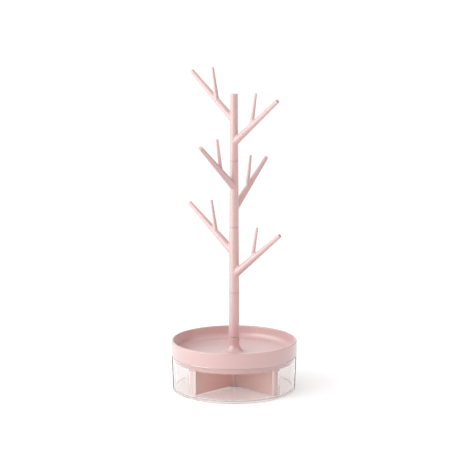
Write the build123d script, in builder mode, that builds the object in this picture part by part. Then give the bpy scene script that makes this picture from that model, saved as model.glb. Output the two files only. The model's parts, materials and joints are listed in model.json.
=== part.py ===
from build123d import *

import os
from math import cos, radians, sin

# Jewellery stand: a tree with forked branches stands in a shallow round tray. The tray and
# the four-way divider under it turn together in a clear drum, which has one window.
# Millimetres and degrees, +Z up. The origin is on the table, under the middle of the drum,
# and the window faces -Y.

# ---------------------------------------------------------------- driving dimensions
# Tray: the round top of the base
tray_radius = 75.0
tray_height = 17.7
tray_wall = 2.6
tray_floor = 2.2
dish_round = 8.0
rim_round = 1.1
skirt_round = 0.5
boss_height = 15.4
boss_flare = 11.0

# Plug ring: the tray's guide, inside the drum
plug_depth = 6.5
plug_wall = 2.2
plug_round = 0.5
plug_clearance = 0.4

# Drum: clear, one piece with its floor and its standing ring
drum_inset = 0.4
drum_draft = 1.7
drum_wall = 2.2
drum_inside_height = 39.0
drum_floor = 2.0
foot_width = 8.0
drum_corner = 1.8
drum_inner_corner = 1.5
drum_rim_round = 0.6
tray_gap = 0.3

# Window in the drum
window_half_angle = 46.0
sill_height = 1.3
header_margin = 0.3
window_corner = 3.0
window_edge_round = 0.4

# Four-way divider
divider_wall = 2.0
hub_wall = 1.8
hub_spigot = 3.5
hub_end_gap = 2.1
divider_count = 4
first_divider_angle = 45.0
post_radius = 3.2
post_height = 23.1
post_web = 4.0
tray_post_radius = 2.4
flange_wall = 1.6
flange_half_angle = 4.0

# Pivot under the drum's floor
pivot_radius = 2.0
pivot_length = 20.0
pivot_head_lip = 1.8
pivot_head_height = 1.2
pivot_washer_width = 4.2
pivot_washer_thickness = 0.5
glide_washer_lip = 1.2
glide_washer_thickness = 0.6
recess_depth = 0.8
ground_clearance = 0.4

# Screws
tray_screw_radius = 1.2
tray_screw_end_gap = 5.0
tray_screw_head_radius = 2.1
tray_screw_head_height = 1.6
root_screw_radius = 2.0
root_screw_grip = 11.4
root_screw_head_height = 2.4
slot_width_share = 0.28
slot_length_share = 1.2
slot_depth_share = 0.55
head_bevel_share = 0.3
point_bevel_share = 0.4

# Trunk
collar_height = 4.0
post_length = 53.7
section_length = 79.0
collar_diameter = 12.8
post_top_diameter = 12.6
lower_top_diameter = 11.2
middle_top_diameter = 10.0
upper_top_diameter = 8.9
joint_chamfer = 0.3
collar_groove_height = 0.8
collar_groove_depth = 1.0
spigot_radius = 3.0
spigot_length = 9.0
spigot_chamfer = 0.5

# Branches, measured from the trunk's axis
low_branch_height = 20.9
high_branch_height = 47.2
branch_run = 65.6
branch_rise = 54.5
fork_run = 26.2
twig_run = 33.2
twig_rise = 60.8
lower_branch_diameter = 10.2
middle_branch_diameter = 9.2
upper_branch_diameter = 8.6
branch_tip_diameter = 4.8
twig_root_diameter = 5.2
twig_tip_diameter = 2.9
tip_round = 0.4
root_round = 1.5
fork_round = 1.0
lower_azimuth = -35.6
middle_azimuth = 53.6
upper_azimuth = -40.2

# Clearances of the fits
pivot_clearance = 0.1
spigot_clearance = 0.1
screw_clearance = 0.2
thread_clearance = 0.05
head_clearance = 0.15
hub_clearance = 0.2
divider_clearance = 0.8
flange_clearance = 0.3
end_clearance = 0.6
blind_depth = 1.0

# ---------------------------------------------------------------- heights and radii
foot_height = pivot_washer_thickness + pivot_head_height + ground_clearance - recess_depth
floor_top = foot_height + drum_floor
drum_top = floor_top + drum_inside_height
tray_bottom = drum_top + tray_gap
tray_floor_top = tray_bottom + tray_floor
tray_top = tray_bottom + tray_height
boss_top = tray_floor_top + boss_height
plug_bottom = tray_bottom - plug_depth
post_bottom = boss_top + collar_height
collar_radius = collar_diameter / 2

drum_top_outer = tray_radius - drum_inset
drum_bottom_outer = drum_top_outer - drum_draft
drum_top_inner = drum_top_outer - drum_wall
drum_bottom_inner = drum_bottom_outer - drum_wall
wall_lean = drum_draft / drum_inside_height
plug_outer = drum_top_inner - wall_lean * (drum_top - plug_bottom) - plug_clearance
plug_inner = plug_outer - plug_wall
dish_radius = tray_radius - tray_wall

window_bottom = floor_top + sill_height
window_top = plug_bottom - header_margin

divider_bottom = floor_top + glide_washer_thickness
divider_post_top = divider_bottom + post_height
divider_radius = drum_bottom_inner - divider_clearance
post_circle = divider_radius - post_radius
flange_radius = divider_radius - flange_wall / 2
flange_height = plug_bottom - flange_clearance - divider_bottom
screw_seat = divider_post_top - post_web
tray_screw_length = tray_bottom - tray_screw_end_gap - screw_seat

hub_radius = pivot_radius + hub_wall
pivot_seat = foot_height + recess_depth - pivot_washer_thickness
pivot_bore = pivot_radius + pivot_clearance
root_seat = tray_bottom + hub_spigot + hub_end_gap + root_screw_head_height
root_screw_length = post_bottom + root_screw_grip - root_seat
rod_align = (Align.CENTER, Align.CENTER, Align.MIN)


def corner(sketch, x, y):
    """The vertex of a sketch that lies nearest to x, y."""
    return sketch.vertices().sort_by_distance((x, y))[0]


def screw(radius, length, head_radius, head_height, seat):
    """A screw that points up, with its head's upper face at the height of the seat."""
    head_bottom = seat - head_height
    with BuildPart() as body:
        with BuildSketch(Plane.XY.offset(head_bottom)):
            Circle(head_radius)
        extrude(amount=head_height)
        chamfer(body.edges().group_by(Axis.Z)[0], head_height * head_bevel_share)
        with BuildSketch(Plane.XY.offset(seat)):
            Circle(radius)
        extrude(amount=length)
        chamfer(body.edges().group_by(Axis.Z)[-1], radius * point_bevel_share)
        with BuildSketch(Plane.XY.offset(head_bottom)):
            for turn in (0, 90):
                Rectangle(head_radius * slot_length_share, head_radius * slot_width_share, rotation=turn)
        extrude(amount=head_height * slot_depth_share, mode=Mode.SUBTRACT)
    return body.part


def washer(radius, bore, bottom, thickness):
    """A flat ring that lies on the height of its bottom."""
    with BuildPart() as ring:
        with BuildSketch(Plane.XY.offset(bottom)):
            Circle(radius)
            Circle(bore, mode=Mode.SUBTRACT)
        extrude(amount=thickness)
    return ring.part


def branch_section(azimuth, bottom_diameter, top_diameter, branch_diameter, has_spigot):
    """One moulded trunk section, standing on the origin: two forked branches on opposite sides."""
    outward = Vector(cos(radians(azimuth)), sin(radians(azimuth)), 0)
    with BuildPart() as section:
        with BuildSketch():
            Circle(bottom_diameter / 2)
        with BuildSketch(Plane.XY.offset(section_length)):
            Circle(top_diameter / 2)
        loft()
        chamfer(section.edges().group_by(Axis.Z)[0], joint_chamfer)
        chamfer(section.edges().group_by(Axis.Z)[-1], joint_chamfer)
        if has_spigot:
            with BuildSketch(Plane.XY.offset(section_length)):
                Circle(spigot_radius)
            extrude(amount=spigot_length)
            chamfer(section.faces().sort_by(Axis.Z)[-1].edges(), spigot_chamfer)
        for height, side in ((low_branch_height, outward), (high_branch_height, -outward)):
            root = Vector(0, 0, height)
            along = side * branch_run + Vector(0, 0, branch_rise)
            fork = root + along * (fork_run / branch_run)
            twig_tip = root + side * twig_run + Vector(0, 0, twig_rise)
            twig = twig_tip - fork
            with Locations(Plane(origin=root, z_dir=along)):
                Cone(branch_diameter / 2, branch_tip_diameter / 2, along.length, align=rod_align)
            fillet(section.edges(Select.NEW), root_round)
            with Locations(Plane(origin=fork, z_dir=twig)):
                Cone(twig_root_diameter / 2, twig_tip_diameter / 2, twig.length, align=rod_align)
            fillet(section.edges(Select.NEW), fork_round)
            for tip in (root + along, twig_tip):
                rim = section.edges().filter_by(GeomType.CIRCLE).sort_by_distance(tip)[0]
                fillet(rim, tip_round)
        with BuildSketch():
            Circle(spigot_radius + spigot_clearance)
        extrude(amount=spigot_length + end_clearance, mode=Mode.SUBTRACT)
    return section.part


os.makedirs("parts", exist_ok=True)

# ---------------------------------------------------------------- drum
start_angle = radians(-90 - window_half_angle)
window_plane = Plane(
    origin=(0, 0, 0),
    x_dir=(cos(start_angle), sin(start_angle), 0),
    z_dir=(sin(start_angle), -cos(start_angle), 0),
)
window_depth = drum_top_outer - drum_bottom_inner + 2 * drum_wall
with BuildPart() as window:
    with BuildSketch(window_plane):
        with Locations((drum_bottom_inner - drum_wall, window_bottom)):
            Rectangle(window_depth, window_top - window_bottom, align=(Align.MIN, Align.MIN))
    revolve(axis=Axis.Z, revolution_arc=2 * window_half_angle)
    radial_edges = window.edges().filter_by(GeomType.LINE).filter_by(Axis.Z, reverse=True)
    fillet(radial_edges, window_corner)

with BuildPart() as drum:
    with BuildSketch(Plane.XZ) as drum_profile:
        with BuildLine():
            Polyline(
                (pivot_bore, foot_height),
                (drum_bottom_outer - foot_width, foot_height),
                (drum_bottom_outer - foot_width, 0),
                (drum_bottom_outer, 0),
                (drum_top_outer, drum_top),
                (drum_top_inner, drum_top),
                (drum_bottom_inner, floor_top),
                (pivot_bore, floor_top),
                close=True,
            )
        make_face()
        fillet(corner(drum_profile, drum_bottom_outer, 0), drum_corner)
        fillet(corner(drum_profile, drum_bottom_inner, floor_top), drum_inner_corner)
        fillet(corner(drum_profile, drum_top_outer, drum_top), drum_rim_round)
        fillet(corner(drum_profile, drum_top_inner, drum_top), drum_rim_round)
    revolve(axis=Axis.Z)
    with BuildSketch(Plane.XY.offset(foot_height)):
        Circle(pivot_radius + pivot_washer_width + screw_clearance)
    extrude(amount=recess_depth, mode=Mode.SUBTRACT)
    add(window.part, mode=Mode.SUBTRACT)
    fillet(drum.edges(Select.NEW), window_edge_round)
drum.part.label = "drum"
export_step(drum.part, "parts/drum.step")

# ---------------------------------------------------------------- tray, with its plug ring
post_places = PolarLocations(post_circle, divider_count, start_angle=first_divider_angle)
with BuildPart() as tray:
    with BuildSketch(Plane.XZ) as tray_profile:
        with BuildLine():
            Polyline(
                (0, tray_bottom),
                (plug_inner, tray_bottom),
                (plug_inner, plug_bottom),
                (plug_outer, plug_bottom),
                (plug_outer, tray_bottom),
                (tray_radius, tray_bottom),
                (tray_radius, tray_top),
                (dish_radius, tray_top),
                (dish_radius, tray_floor_top),
                (collar_radius, tray_floor_top),
                (collar_radius, boss_top),
                (0, boss_top),
                close=True,
            )
        make_face()
        fillet(corner(tray_profile, dish_radius, tray_floor_top), dish_round)
        fillet(corner(tray_profile, collar_radius, tray_floor_top), boss_flare)
        fillet(corner(tray_profile, tray_radius, tray_top), rim_round)
        fillet(corner(tray_profile, dish_radius, tray_top), rim_round)
        fillet(corner(tray_profile, tray_radius, tray_bottom), skirt_round)
        fillet(corner(tray_profile, plug_outer, plug_bottom), plug_round)
    revolve(axis=Axis.Z)
    with BuildSketch(Plane.XY.offset(divider_post_top)):
        with post_places:
            Circle(tray_post_radius)
    extrude(amount=tray_bottom - divider_post_top)
    with BuildSketch(Plane.XY.offset(divider_post_top)):
        with post_places:
            Circle(tray_screw_radius + thread_clearance)
    extrude(amount=screw_seat + tray_screw_length + blind_depth - divider_post_top, mode=Mode.SUBTRACT)
    with BuildSketch(Plane.XY.offset(tray_bottom)):
        Circle(hub_radius + hub_clearance)
    extrude(amount=root_seat - tray_bottom, mode=Mode.SUBTRACT)
    with BuildSketch(Plane.XY.offset(root_seat)):
        Circle(root_screw_radius + screw_clearance)
    extrude(amount=boss_top - root_seat, mode=Mode.SUBTRACT)
tray.part.label = "tray"
export_step(tray.part, "parts/tray.step")

# ---------------------------------------------------------------- divider
with BuildPart() as cross_divider:
    with BuildSketch(Plane.XY.offset(divider_bottom)):
        with PolarLocations(post_circle / 2, divider_count, start_angle=first_divider_angle):
            Rectangle(post_circle, divider_wall)
        Circle(hub_radius)
    extrude(amount=tray_bottom - divider_bottom)
    with BuildSketch(Plane.XY.offset(divider_bottom)):
        with post_places:
            Circle(post_radius)
    extrude(amount=post_height)
    with BuildSketch(Plane.XY.offset(divider_bottom)):
        with PolarLocations(0, divider_count, start_angle=first_divider_angle - flange_half_angle):
            SlotArc(CenterArc((0, 0), flange_radius, 0, 2 * flange_half_angle), flange_wall)
    extrude(amount=flange_height)
    with BuildSketch(Plane.XY.offset(divider_post_top)):
        with post_places:
            Circle(tray_post_radius + screw_clearance)
    extrude(amount=tray_bottom - divider_post_top, mode=Mode.SUBTRACT)
    with BuildSketch(Plane.XY.offset(tray_bottom)):
        Circle(hub_radius)
    extrude(amount=hub_spigot)
    with BuildSketch(Plane.XY.offset(divider_bottom)):
        with post_places:
            Circle(tray_screw_head_radius + head_clearance)
    extrude(amount=screw_seat - divider_bottom, mode=Mode.SUBTRACT)
    with BuildSketch(Plane.XY.offset(screw_seat)):
        with post_places:
            Circle(tray_screw_radius + screw_clearance)
    extrude(amount=post_web, mode=Mode.SUBTRACT)
    with BuildSketch(Plane.XY.offset(divider_bottom)):
        Circle(pivot_radius + thread_clearance)
    extrude(amount=pivot_seat + pivot_length - divider_bottom + blind_depth, mode=Mode.SUBTRACT)
cross_divider.part.label = "cross_divider"
export_step(cross_divider.part, "parts/cross_divider.step")

# ---------------------------------------------------------------- pivot
pivot_head_radius = pivot_radius + pivot_head_lip
pivot_screw = screw(pivot_radius, pivot_length, pivot_head_radius, pivot_head_height, pivot_seat)
pivot_screw.label = "pivot_screw"
export_step(pivot_screw, "parts/pivot_screw.step")

pivot_washer_radius = pivot_radius + pivot_washer_width
pivot_washer = washer(pivot_washer_radius, pivot_bore, pivot_seat, pivot_washer_thickness)
pivot_washer.label = "pivot_washer"
export_step(pivot_washer, "parts/pivot_washer.step")

glide_washer_radius = hub_radius + glide_washer_lip
glide_washer = washer(glide_washer_radius, pivot_bore, floor_top, glide_washer_thickness)
glide_washer.label = "glide_washer"
export_step(glide_washer, "parts/glide_washer.step")

# ---------------------------------------------------------------- screws of the tray
one_tray_screw = screw(
    tray_screw_radius, tray_screw_length, tray_screw_head_radius, tray_screw_head_height, screw_seat
)
with BuildPart() as tray_screws:
    with post_places:
        add(one_tray_screw)
tray_screws.part.label = "tray_screws"
export_step(tray_screws.part, "parts/tray_screws.step")

root_screw = screw(root_screw_radius, root_screw_length, hub_radius, root_screw_head_height, root_seat)
root_screw.label = "root_screw"
export_step(root_screw, "parts/root_screw.step")

# ---------------------------------------------------------------- trunk
with BuildPart() as collar_ring:
    with BuildSketch(Plane.XY.offset(boss_top)):
        Circle(collar_radius)
    extrude(amount=collar_height - collar_groove_height)
    chamfer(collar_ring.edges().filter_by(GeomType.CIRCLE), joint_chamfer)
    with BuildSketch(Plane.XY.offset(boss_top)):
        Circle(collar_radius - collar_groove_depth)
    extrude(amount=collar_height)
    with BuildSketch(Plane.XY.offset(boss_top)):
        Circle(root_screw_radius + screw_clearance)
    extrude(amount=collar_height, mode=Mode.SUBTRACT)
collar_ring.part.label = "collar_ring"
export_step(collar_ring.part, "parts/collar_ring.step")

post_top = post_bottom + post_length
with BuildPart() as lower_post:
    with BuildSketch(Plane.XY.offset(post_bottom)):
        Circle(collar_radius)
    with BuildSketch(Plane.XY.offset(post_top)):
        Circle(post_top_diameter / 2)
    loft()
    chamfer(lower_post.edges().group_by(Axis.Z)[0], joint_chamfer)
    chamfer(lower_post.edges().group_by(Axis.Z)[-1], joint_chamfer)
    with BuildSketch(Plane.XY.offset(post_top)):
        Circle(spigot_radius)
    extrude(amount=spigot_length)
    chamfer(lower_post.faces().sort_by(Axis.Z)[-1].edges(), spigot_chamfer)
    with BuildSketch(Plane.XY.offset(post_bottom)):
        Circle(root_screw_radius + thread_clearance)
    extrude(amount=root_screw_grip + blind_depth, mode=Mode.SUBTRACT)
lower_post.part.label = "lower_post"
export_step(lower_post.part, "parts/lower_post.step")

tiers = (
    ("lower", lower_azimuth, lower_top_diameter, lower_branch_diameter),
    ("middle", middle_azimuth, middle_top_diameter, middle_branch_diameter),
    ("upper", upper_azimuth, upper_top_diameter, upper_branch_diameter),
)
section_bottom = post_top
bottom_diameter = post_top_diameter
for tier, azimuth, top_diameter, branch_diameter in tiers:
    has_spigot = tier != "upper"
    section = branch_section(azimuth, bottom_diameter, top_diameter, branch_diameter, has_spigot)
    module = section.moved(Location((0, 0, section_bottom)))
    module.label = f"branch_module_{tier}"
    export_step(module, f"parts/{module.label}.step")
    section_bottom = section_bottom + section_length
    bottom_diameter = top_diameter
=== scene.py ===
import json
import math

import bpy
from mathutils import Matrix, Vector


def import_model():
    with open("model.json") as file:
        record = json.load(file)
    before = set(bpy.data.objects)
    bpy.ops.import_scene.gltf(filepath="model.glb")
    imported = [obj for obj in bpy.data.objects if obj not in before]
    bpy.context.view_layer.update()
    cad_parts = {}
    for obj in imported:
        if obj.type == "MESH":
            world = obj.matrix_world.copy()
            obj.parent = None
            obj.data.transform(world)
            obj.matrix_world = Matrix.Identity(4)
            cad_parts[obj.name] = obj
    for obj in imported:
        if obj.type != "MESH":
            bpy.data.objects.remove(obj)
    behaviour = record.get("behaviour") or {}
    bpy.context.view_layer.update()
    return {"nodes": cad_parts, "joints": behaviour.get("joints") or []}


# A jewellery stand in dusty pink plastic: a turning tree and tray on a clear round drum.
# Metres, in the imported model's frame: +Z up, the drum's window faces -Y.

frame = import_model()
nodes = frame["nodes"]
joint_heights = {joint["child"]: joint["pos_m"][2] for joint in frame["joints"]}

# ---------------------------------------------------------------- camera
CAMERA_PLACE = (0.0, -2.335, 0.6233)
CAMERA_AIM = (0.0011, 0.0, 0.1870)
CAMERA_LENS = 153.7
CAMERA_REACH = 60.0
SENSOR_WIDTH = 36.0

# ---------------------------------------------------------------- pink plastic
# The flow marks mix each pair of pinks. The divider's thin walls are its own pink painted
# paler than the rest: painted light that stands in for light inside the drum.
SOLID_PINKS = ((0.70, 0.405, 0.39, 1.0), (0.68, 0.38, 0.36, 1.0))
THIN_PINKS_PAINTED_LIGHTER = ((0.93, 0.585, 0.545, 1.0), (0.91, 0.56, 0.52, 1.0))
# The painted shade in the trunk's joints and the collar's groove
SEAM_SHADE_PINK = (0.50, 0.26, 0.24, 1.0)
# Light inside the plastic: its share, and how far red, green and blue travel
SOLID_GLOW = (0.15, (0.004, 0.0018, 0.0014))
THIN_GLOW = (0.62, (0.007, 0.0040, 0.0035))
PINK_ROUGHNESS = (0.30, 0.38)
PINK_GLOSS = {
    "IOR": 1.5,
    "Sheen Weight": 0.5,
    "Sheen Roughness": 0.5,
    "Coat Weight": 1.0,
    "Coat Roughness": 0.32,
    "Coat IOR": 2.0,
}
# Noise: scale and detail
FLOW_NOISE = (22.0, 2.0)
WAVE_NOISE = (60.0, 1.0)
GRAIN_NOISE = (1400.0, 2.0)
# Bumps: strength and depth
WAVE_BUMP = (0.12, 0.0004)
GRAIN_BUMP = (0.10, 0.00005)
PARTING_BUMP = (0.35, 0.00008)
# The parting line fades out between these distances from its plane
PARTING_FADE = (0.00005, 0.00025)

# ---------------------------------------------------------------- clear plastic
# The tints of the polished plastic, of what goes straight through it, and of its outline, a
# painted dark edge that stands in for the dark surroundings seen through the wall's edge
CLEAR_TINT = (0.945, 0.915, 0.91, 1.0)
OPEN_TINT = (0.97, 0.955, 0.95, 1.0)
OUTLINE_PAINTED_SHADE = (0.42, 0.37, 0.35, 1.0)
CLEAR_IOR = 1.49
CLEAR_ROUGHNESS = (0.01, 0.05)
HAZE_NOISE = (35.0, 3.0)
RIPPLE_NOISE = (45.0, 1.0)
RIPPLE_BUMP = (0.15, 0.0003)
# A wall's outline fades in between these values of Layer Weight's Facing at this blend
OUTLINE_FACING = (0.80, 0.88)
FACING_BLEND = 0.5
# A face whose normal rises or falls less than this belongs to an upright wall
WALL_TILT = 0.5
# Beyond this many bounces, light goes straight through
MOST_BOUNCES = 4.5

# ---------------------------------------------------------------- screws and washers
STEEL = {
    "colours": ((0.62, 0.62, 0.63, 1.0), (0.50, 0.50, 0.52, 1.0)),
    "mottle": (160.0, 3.0),
    "marks": (900.0, 4.0),
    "roughness": (0.22, 0.42),
    "bump": (0.2, 0.00003),
    "metallic": 1.0,
}
ACETAL = {
    "colours": ((0.86, 0.86, 0.84, 1.0), (0.80, 0.80, 0.78, 1.0)),
    "mottle": (800.0, 3.0),
    "marks": (800.0, 3.0),
    "roughness": (0.4, 0.55),
    "bump": (0.1, 0.00004),
    "metallic": 0.0,
}

# ---------------------------------------------------------------- painted shade in the trunk's joints
# Each is a line of painted shade in a joint or groove of the trunk: the height of its middle,
# and half of its width
JOINT_HALF = 0.00040
collar_foot = (0.0602, JOINT_HALF)
collar_groove = (0.0638, 0.0006)
lower_joint, middle_joint, upper_joint = (
    (joint_heights[body], JOINT_HALF)
    for body in ("lower_branches", "middle_branches", "upper_branches")
)
# No line runs farther than this from the trunk's axis, so that none crosses a branch
TRUNK_REACH = 0.0068
# The heights of the lines of painted shade on each trunk piece
SEAM_SHADE_LINES = {
    "collar_ring": (collar_groove, collar_foot),
    "lower_post": (collar_groove, lower_joint),
    "branch_module_lower": (lower_joint, middle_joint),
    "branch_module_middle": (middle_joint, upper_joint),
    "branch_module_upper": (upper_joint,),
}
# The azimuth of each section's branches, and of the plane where its mould parted
PARTING_AZIMUTHS = {
    "branch_module_lower": -35.6,
    "branch_module_middle": 53.6,
    "branch_module_upper": -40.2,
}

# ---------------------------------------------------------------- floor and light
WHITE = (1.0, 1.0, 1.0, 1.0)
FLOOR_HALF = 12.0
FLOOR_LEVEL = -0.0002
FLOOR_WHITE = (0.90, 0.90, 0.90, 1.0)
FLOOR_GLOW = 0.35
# Light by direction: an axis, two values of the dot product with it, and the strength at each.
# The flags are dark places that only reflections and the clear drum see.
SIDE_FLAG = ((0.815, 0.57, 0.10), (0.70, 0.92), (1.0, 0.06))
FRONT_FLAG = ((0.25, -0.97, 0.0), (0.60, 0.95), (1.0, 0.25))
SOFT_LIGHT = ((-0.45, -0.85, 0.25), (-1.0, 1.0), (0.60, 1.12))
# The key is a sun whose light travels along this direction
KEY_TRAVEL = (0.60, 0.70, -0.30)
KEY_STRENGTH = 0.45
KEY_ANGLE = 60.0
KEY_COLOUR = (0.93, 0.99, 1.0)
BOX_PLACE = (-0.72, -0.22, 0.42)
BOX_TARGET = (0.0, 0.0, 0.14)
BOX_SIZE = (1.1, 0.9)
BOX_POWER = 4.2
BOX_COLOUR = (0.76, 0.98, 1.0)


# ---------------------------------------------------------------- node helpers
class Graph:
    """Builds the nodes of one material or world. An input takes a socket or a plain value."""

    def __init__(self, tree):
        tree.nodes.clear()
        self.tree = tree

    def feed(self, socket, value):
        """Links a socket to an input, or sets the input."""
        if isinstance(value, bpy.types.NodeSocket):
            self.tree.links.new(value, socket)
        else:
            socket.default_value = value

    def node(self, kind, inputs=None):
        """A new node, with its inputs by name or number."""
        node = self.tree.nodes.new(kind)
        for key, value in (inputs or {}).items():
            self.feed(node.inputs[key], value)
        return node

    def math(self, operation, first, second=0.0):
        """A sum, a comparison or another function of one or two values."""
        node = self.node("ShaderNodeMath", {0: first, 1: second})
        node.operation = operation
        return node.outputs[0]

    def vector(self, operation, first, second=(0.0, 0.0, 0.0)):
        """The node of a vector operation."""
        node = self.node("ShaderNodeVectorMath", {0: first, 1: second})
        node.operation = operation
        return node

    def largest(self, first, *others):
        """The largest of several values."""
        for other in others:
            first = self.math("MAXIMUM", first, other)
        return first

    def place(self):
        """A point in the object's own coordinates, which turn with it."""
        return self.node("ShaderNodeTexCoord").outputs["Object"]

    def upright(self, vector):
        """The Z part of a vector."""
        return self.node("ShaderNodeSeparateXYZ", {0: vector}).outputs["Z"]

    def noise(self, place, scale, detail):
        """A noise between 0 and 1."""
        inputs = {"Vector": place, "Scale": scale, "Detail": detail}
        return self.node("ShaderNodeTexNoise", inputs).outputs["Fac"]

    def map_range(self, value, target, source=(0.0, 1.0), smooth=False):
        """Maps a value from the source range to the target range, clamped."""
        node = self.node("ShaderNodeMapRange", {"Value": value})
        if smooth:
            node.interpolation_type = "SMOOTHSTEP"
        node.inputs["From Min"].default_value, node.inputs["From Max"].default_value = source
        node.inputs["To Min"].default_value, node.inputs["To Max"].default_value = target
        return node.outputs[0]

    def colour_mix(self, share, first, second):
        """Mixes two colours."""
        node = self.node("ShaderNodeMix")
        node.data_type = "RGBA"
        self.feed(node.inputs["Factor"], share)
        colour_inputs = [socket for socket in node.inputs if socket.type == "RGBA"]
        for socket, colour in zip(colour_inputs, (first, second)):
            self.feed(socket, colour)
        return [socket for socket in node.outputs if socket.type == "RGBA"][0]

    def bump(self, height, strength, depth, normal=None):
        """A bumped normal, on top of another one if it is given."""
        inputs = {"Height": height, "Strength": strength, "Distance": depth}
        if normal is not None:
            inputs["Normal"] = normal
        return self.node("ShaderNodeBump", inputs).outputs[0]

    def seen(self):
        """1 for what the camera sees, also in a reflection or through the clear drum."""
        rays = self.node("ShaderNodeLightPath").outputs
        return self.largest(
            rays["Is Camera Ray"], rays["Is Transmission Ray"], rays["Is Glossy Ray"]
        )


def new_material(name):
    """A material and its empty graph."""
    material = bpy.data.materials.new(name)
    material.use_nodes = True
    return material, Graph(material.node_tree)


# ---------------------------------------------------------------- materials
def seam_shade_mask(graph, place, seam_shades):
    """1 in the trunk's lines of painted joint shade and 0 elsewhere."""
    height = graph.upright(place)
    level = graph.vector("MULTIPLY", place, (1.0, 1.0, 0.0)).outputs[0]
    from_axis = graph.vector("LENGTH", level).outputs["Value"]
    shade_lines = []
    for middle, half in seam_shades:
        away = graph.math("ABSOLUTE", graph.math("SUBTRACT", height, middle))
        shade_lines.append(graph.math("LESS_THAN", away, half))
    in_trunk = graph.math("LESS_THAN", from_axis, TRUNK_REACH)
    return graph.math("MULTIPLY", graph.largest(*shade_lines), in_trunk)


def parting_line(graph, place, azimuth, normal):
    """A fine raised line in the upright plane of the azimuth, where the mould's halves met."""
    turn = math.radians(azimuth)
    across = (-math.sin(turn), math.cos(turn), 0.0)
    away = graph.math("ABSOLUTE", graph.vector("DOT_PRODUCT", place, across).outputs["Value"])
    line = graph.map_range(away, (1.0, 0.0), PARTING_FADE, smooth=True)
    return graph.bump(line, *PARTING_BUMP, normal)


def pink_plastic(name, pinks=SOLID_PINKS, glow=SOLID_GLOW, azimuth=None, seam_shades=()):
    """Moulded pink plastic: soft gloss, faint flow marks and grain, and painted shade in the
    trunk's joint lines.
    """
    material, graph = new_material(name)
    place = graph.place()
    flow = graph.noise(place, *FLOW_NOISE)
    colour = graph.colour_mix(flow, *pinks)
    # Painted shade: the trunk's joints and the collar's groove are darkened as if shadowed
    if seam_shades:
        colour = graph.colour_mix(seam_shade_mask(graph, place, seam_shades), colour, SEAM_SHADE_PINK)
    normal = graph.bump(graph.noise(place, *WAVE_NOISE), *WAVE_BUMP)
    normal = graph.bump(graph.noise(place, *GRAIN_NOISE), *GRAIN_BUMP, normal)
    if azimuth is not None:
        normal = parting_line(graph, place, azimuth, normal)
    shader = graph.node("ShaderNodeBsdfPrincipled", {
        **PINK_GLOSS,
        "Base Color": colour,
        "Roughness": graph.map_range(flow, PINK_ROUGHNESS),
        "Normal": normal,
        "Subsurface Weight": glow[0],
        "Subsurface Radius": glow[1],
        "Subsurface Scale": 1.0,
    })
    graph.node("ShaderNodeOutputMaterial", {"Surface": shader.outputs[0]})
    return material


def wall_outline(graph):
    """1 where an upright wall is seen almost edge on, where the clear plastic is painted dark.
    """
    facing = graph.node("ShaderNodeLayerWeight", {"Blend": FACING_BLEND}).outputs["Facing"]
    edge = graph.map_range(facing, (0.0, 1.0), OUTLINE_FACING, smooth=True)
    normal = graph.node("ShaderNodeNewGeometry").outputs["Normal"]
    tilt = graph.math("ABSOLUTE", graph.upright(normal))
    return graph.math("MULTIPLY", edge, graph.math("LESS_THAN", tilt, WALL_TILT))


def clear_plastic(name):
    """Clear polished plastic with a trace of warm tint, a faint haze and a painted grey
    outline.

    It turns into plain open colour for shadows and soft light, so that what it holds is lit,
    at its outline, and after a few bounces, which would otherwise end in black.
    """
    material, graph = new_material(name)
    place = graph.place()
    rays = graph.node("ShaderNodeLightPath").outputs
    outline = wall_outline(graph)
    haze = graph.noise(place, *HAZE_NOISE)
    polished = graph.node("ShaderNodeBsdfPrincipled", {
        "Base Color": CLEAR_TINT,
        "IOR": CLEAR_IOR,
        "Transmission Weight": 1.0,
        "Roughness": graph.map_range(haze, CLEAR_ROUGHNESS),
        "Normal": graph.bump(graph.noise(place, *RIPPLE_NOISE), *RIPPLE_BUMP),
    })
    # Painted shade: only what the camera sees straight through the outline turns dark
    painted_outline_shade = graph.math("MULTIPLY", outline, rays["Is Camera Ray"])
    open_colour = graph.colour_mix(painted_outline_shade, OPEN_TINT, OUTLINE_PAINTED_SHADE)
    open_shader = graph.node("ShaderNodeBsdfTransparent", {"Color": open_colour})
    deep = graph.math("GREATER_THAN", rays["Ray Depth"], MOST_BOUNCES)
    lets_through = graph.largest(rays["Is Shadow Ray"], rays["Is Diffuse Ray"], deep, outline)
    both = graph.node("ShaderNodeMixShader", {
        "Fac": lets_through,
        1: polished.outputs[0],
        2: open_shader.outputs[0],
    })
    graph.node("ShaderNodeOutputMaterial", {"Surface": both.outputs[0]})
    return material


def small_part(name, colours, mottle, marks, roughness, bump, metallic):
    """The finish of a screw or washer: a mottled colour under fine marks."""
    material, graph = new_material(name)
    place = graph.place()
    fine = graph.noise(place, *marks)
    shader = graph.node("ShaderNodeBsdfPrincipled", {
        "Base Color": graph.colour_mix(graph.noise(place, *mottle), *colours),
        "Roughness": graph.map_range(fine, roughness),
        "Normal": graph.bump(fine, *bump),
        "Metallic": metallic,
    })
    graph.node("ShaderNodeOutputMaterial", {"Surface": shader.outputs[0]})
    return material


def dress(node_name, material):
    """Gives a carried-over piece its material."""
    mesh = nodes[node_name].data
    mesh.materials.clear()
    mesh.materials.append(material)


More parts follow.
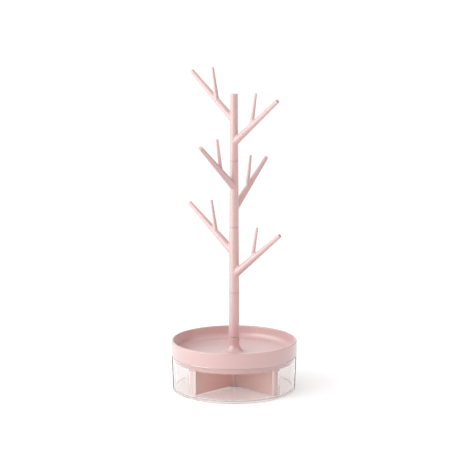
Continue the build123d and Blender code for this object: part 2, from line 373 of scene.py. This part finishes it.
# ---------------------------------------------------------------- stage
def floor():
    """A large white floor that keeps the stand's soft shadow."""
    bpy.ops.mesh.primitive_plane_add(size=2 * FLOOR_HALF, location=(0, 0, FLOOR_LEVEL))
    plane = bpy.context.object
    plane.name = "floor"
    material, graph = new_material("floor_white")
    lit = graph.node("ShaderNodeBsdfDiffuse", {"Color": FLOOR_WHITE})
    strength = graph.math("MULTIPLY", graph.seen(), FLOOR_GLOW)
    glow = graph.node("ShaderNodeEmission", {"Strength": strength})
    both = graph.node("ShaderNodeAddShader", {0: lit.outputs[0], 1: glow.outputs[0]})
    graph.node("ShaderNodeOutputMaterial", {"Surface": both.outputs[0]})
    plane.data.materials.append(material)


def by_direction(graph, direction, axis, spread, strengths):
    """A strength that changes with how nearly a direction points along the axis."""
    along = graph.vector("DOT_PRODUCT", direction, axis).outputs["Value"]
    return graph.map_range(along, strengths, spread)


def world():
    """White to the camera, with dark flags to reflections, and a soft light otherwise."""
    studio = bpy.data.worlds.new("studio")
    bpy.context.scene.world = studio
    studio.use_nodes = True
    graph = Graph(studio.node_tree)
    direction = graph.node("ShaderNodeTexCoord").outputs["Generated"]
    seen_by_camera = graph.node("ShaderNodeLightPath").outputs["Is Camera Ray"]
    side = by_direction(graph, direction, *SIDE_FLAG)
    front = by_direction(graph, direction, *FRONT_FLAG)
    flagged = graph.math("MINIMUM", side, front)
    seen_light = graph.node("ShaderNodeBackground", {
        "Color": WHITE,
        "Strength": graph.largest(flagged, seen_by_camera),
    })
    soft_light = graph.node("ShaderNodeBackground", {
        "Strength": by_direction(graph, direction, *SOFT_LIGHT),
    })
    both = graph.node("ShaderNodeMixShader", {
        "Fac": graph.seen(),
        1: soft_light.outputs[0],
        2: seen_light.outputs[0],
    })
    graph.node("ShaderNodeOutputWorld", {"Surface": both.outputs[0]})


def add_object(name, data):
    """Puts a lamp or a camera into the scene."""
    thing = bpy.data.objects.new(name, data)
    bpy.context.scene.collection.objects.link(thing)
    return thing


def turn_along(thing, direction):
    """Turns a lamp or a camera to look along a direction."""
    thing.rotation_euler = Vector(direction).to_track_quat("-Z", "Y").to_euler()


def key_light():
    """A wide sun from the front left."""
    data = bpy.data.lights.new("key", "SUN")
    data.energy = KEY_STRENGTH
    data.color = KEY_COLOUR
    data.angle = math.radians(KEY_ANGLE)
    turn_along(add_object("key", data), KEY_TRAVEL)


def left_box():
    """A large soft lamp at the left, which gives the trunk its broad highlight."""
    data = bpy.data.lights.new("left_box", "AREA")
    data.shape = "RECTANGLE"
    data.size, data.size_y = BOX_SIZE
    data.energy = BOX_POWER
    data.color = BOX_COLOUR
    lamp = add_object("left_box", data)
    lamp.location = BOX_PLACE
    turn_along(lamp, Vector(BOX_TARGET) - lamp.location)


def camera():
    """The photograph's viewpoint."""
    data = bpy.data.cameras.new("camera")
    data.lens = CAMERA_LENS
    data.sensor_width = SENSOR_WIDTH
    data.clip_end = CAMERA_REACH
    viewer = add_object("camera", data)
    viewer.location = CAMERA_PLACE
    turn_along(viewer, Vector(CAMERA_AIM) - viewer.location)
    bpy.context.scene.camera = viewer


# ---------------------------------------------------------------- the scene
camera()
world()
floor()
key_light()
left_box()
bpy.context.scene.view_settings.view_transform = "Standard"

dress("tray", pink_plastic("pink_tray"))
# The divider's pinks are painted lighter, as painted light for the inside of the drum
dress("cross_divider", pink_plastic("pink_divider_painted_lighter", THIN_PINKS_PAINTED_LIGHTER, THIN_GLOW))
# Each trunk piece gets painted shade in its joint lines
for node_name, seam_shades in SEAM_SHADE_LINES.items():
    azimuth = PARTING_AZIMUTHS.get(node_name)
    dress(node_name, pink_plastic("pink_" + node_name, azimuth=azimuth, seam_shades=seam_shades))
dress("drum", clear_plastic("clear_plastic"))
plated = small_part("steel", **STEEL)
for node_name in ("pivot_screw", "pivot_washer", "tray_screws", "root_screw"):
    dress(node_name, plated)
dress("glide_washer", small_part("white_acetal", **ACETAL))
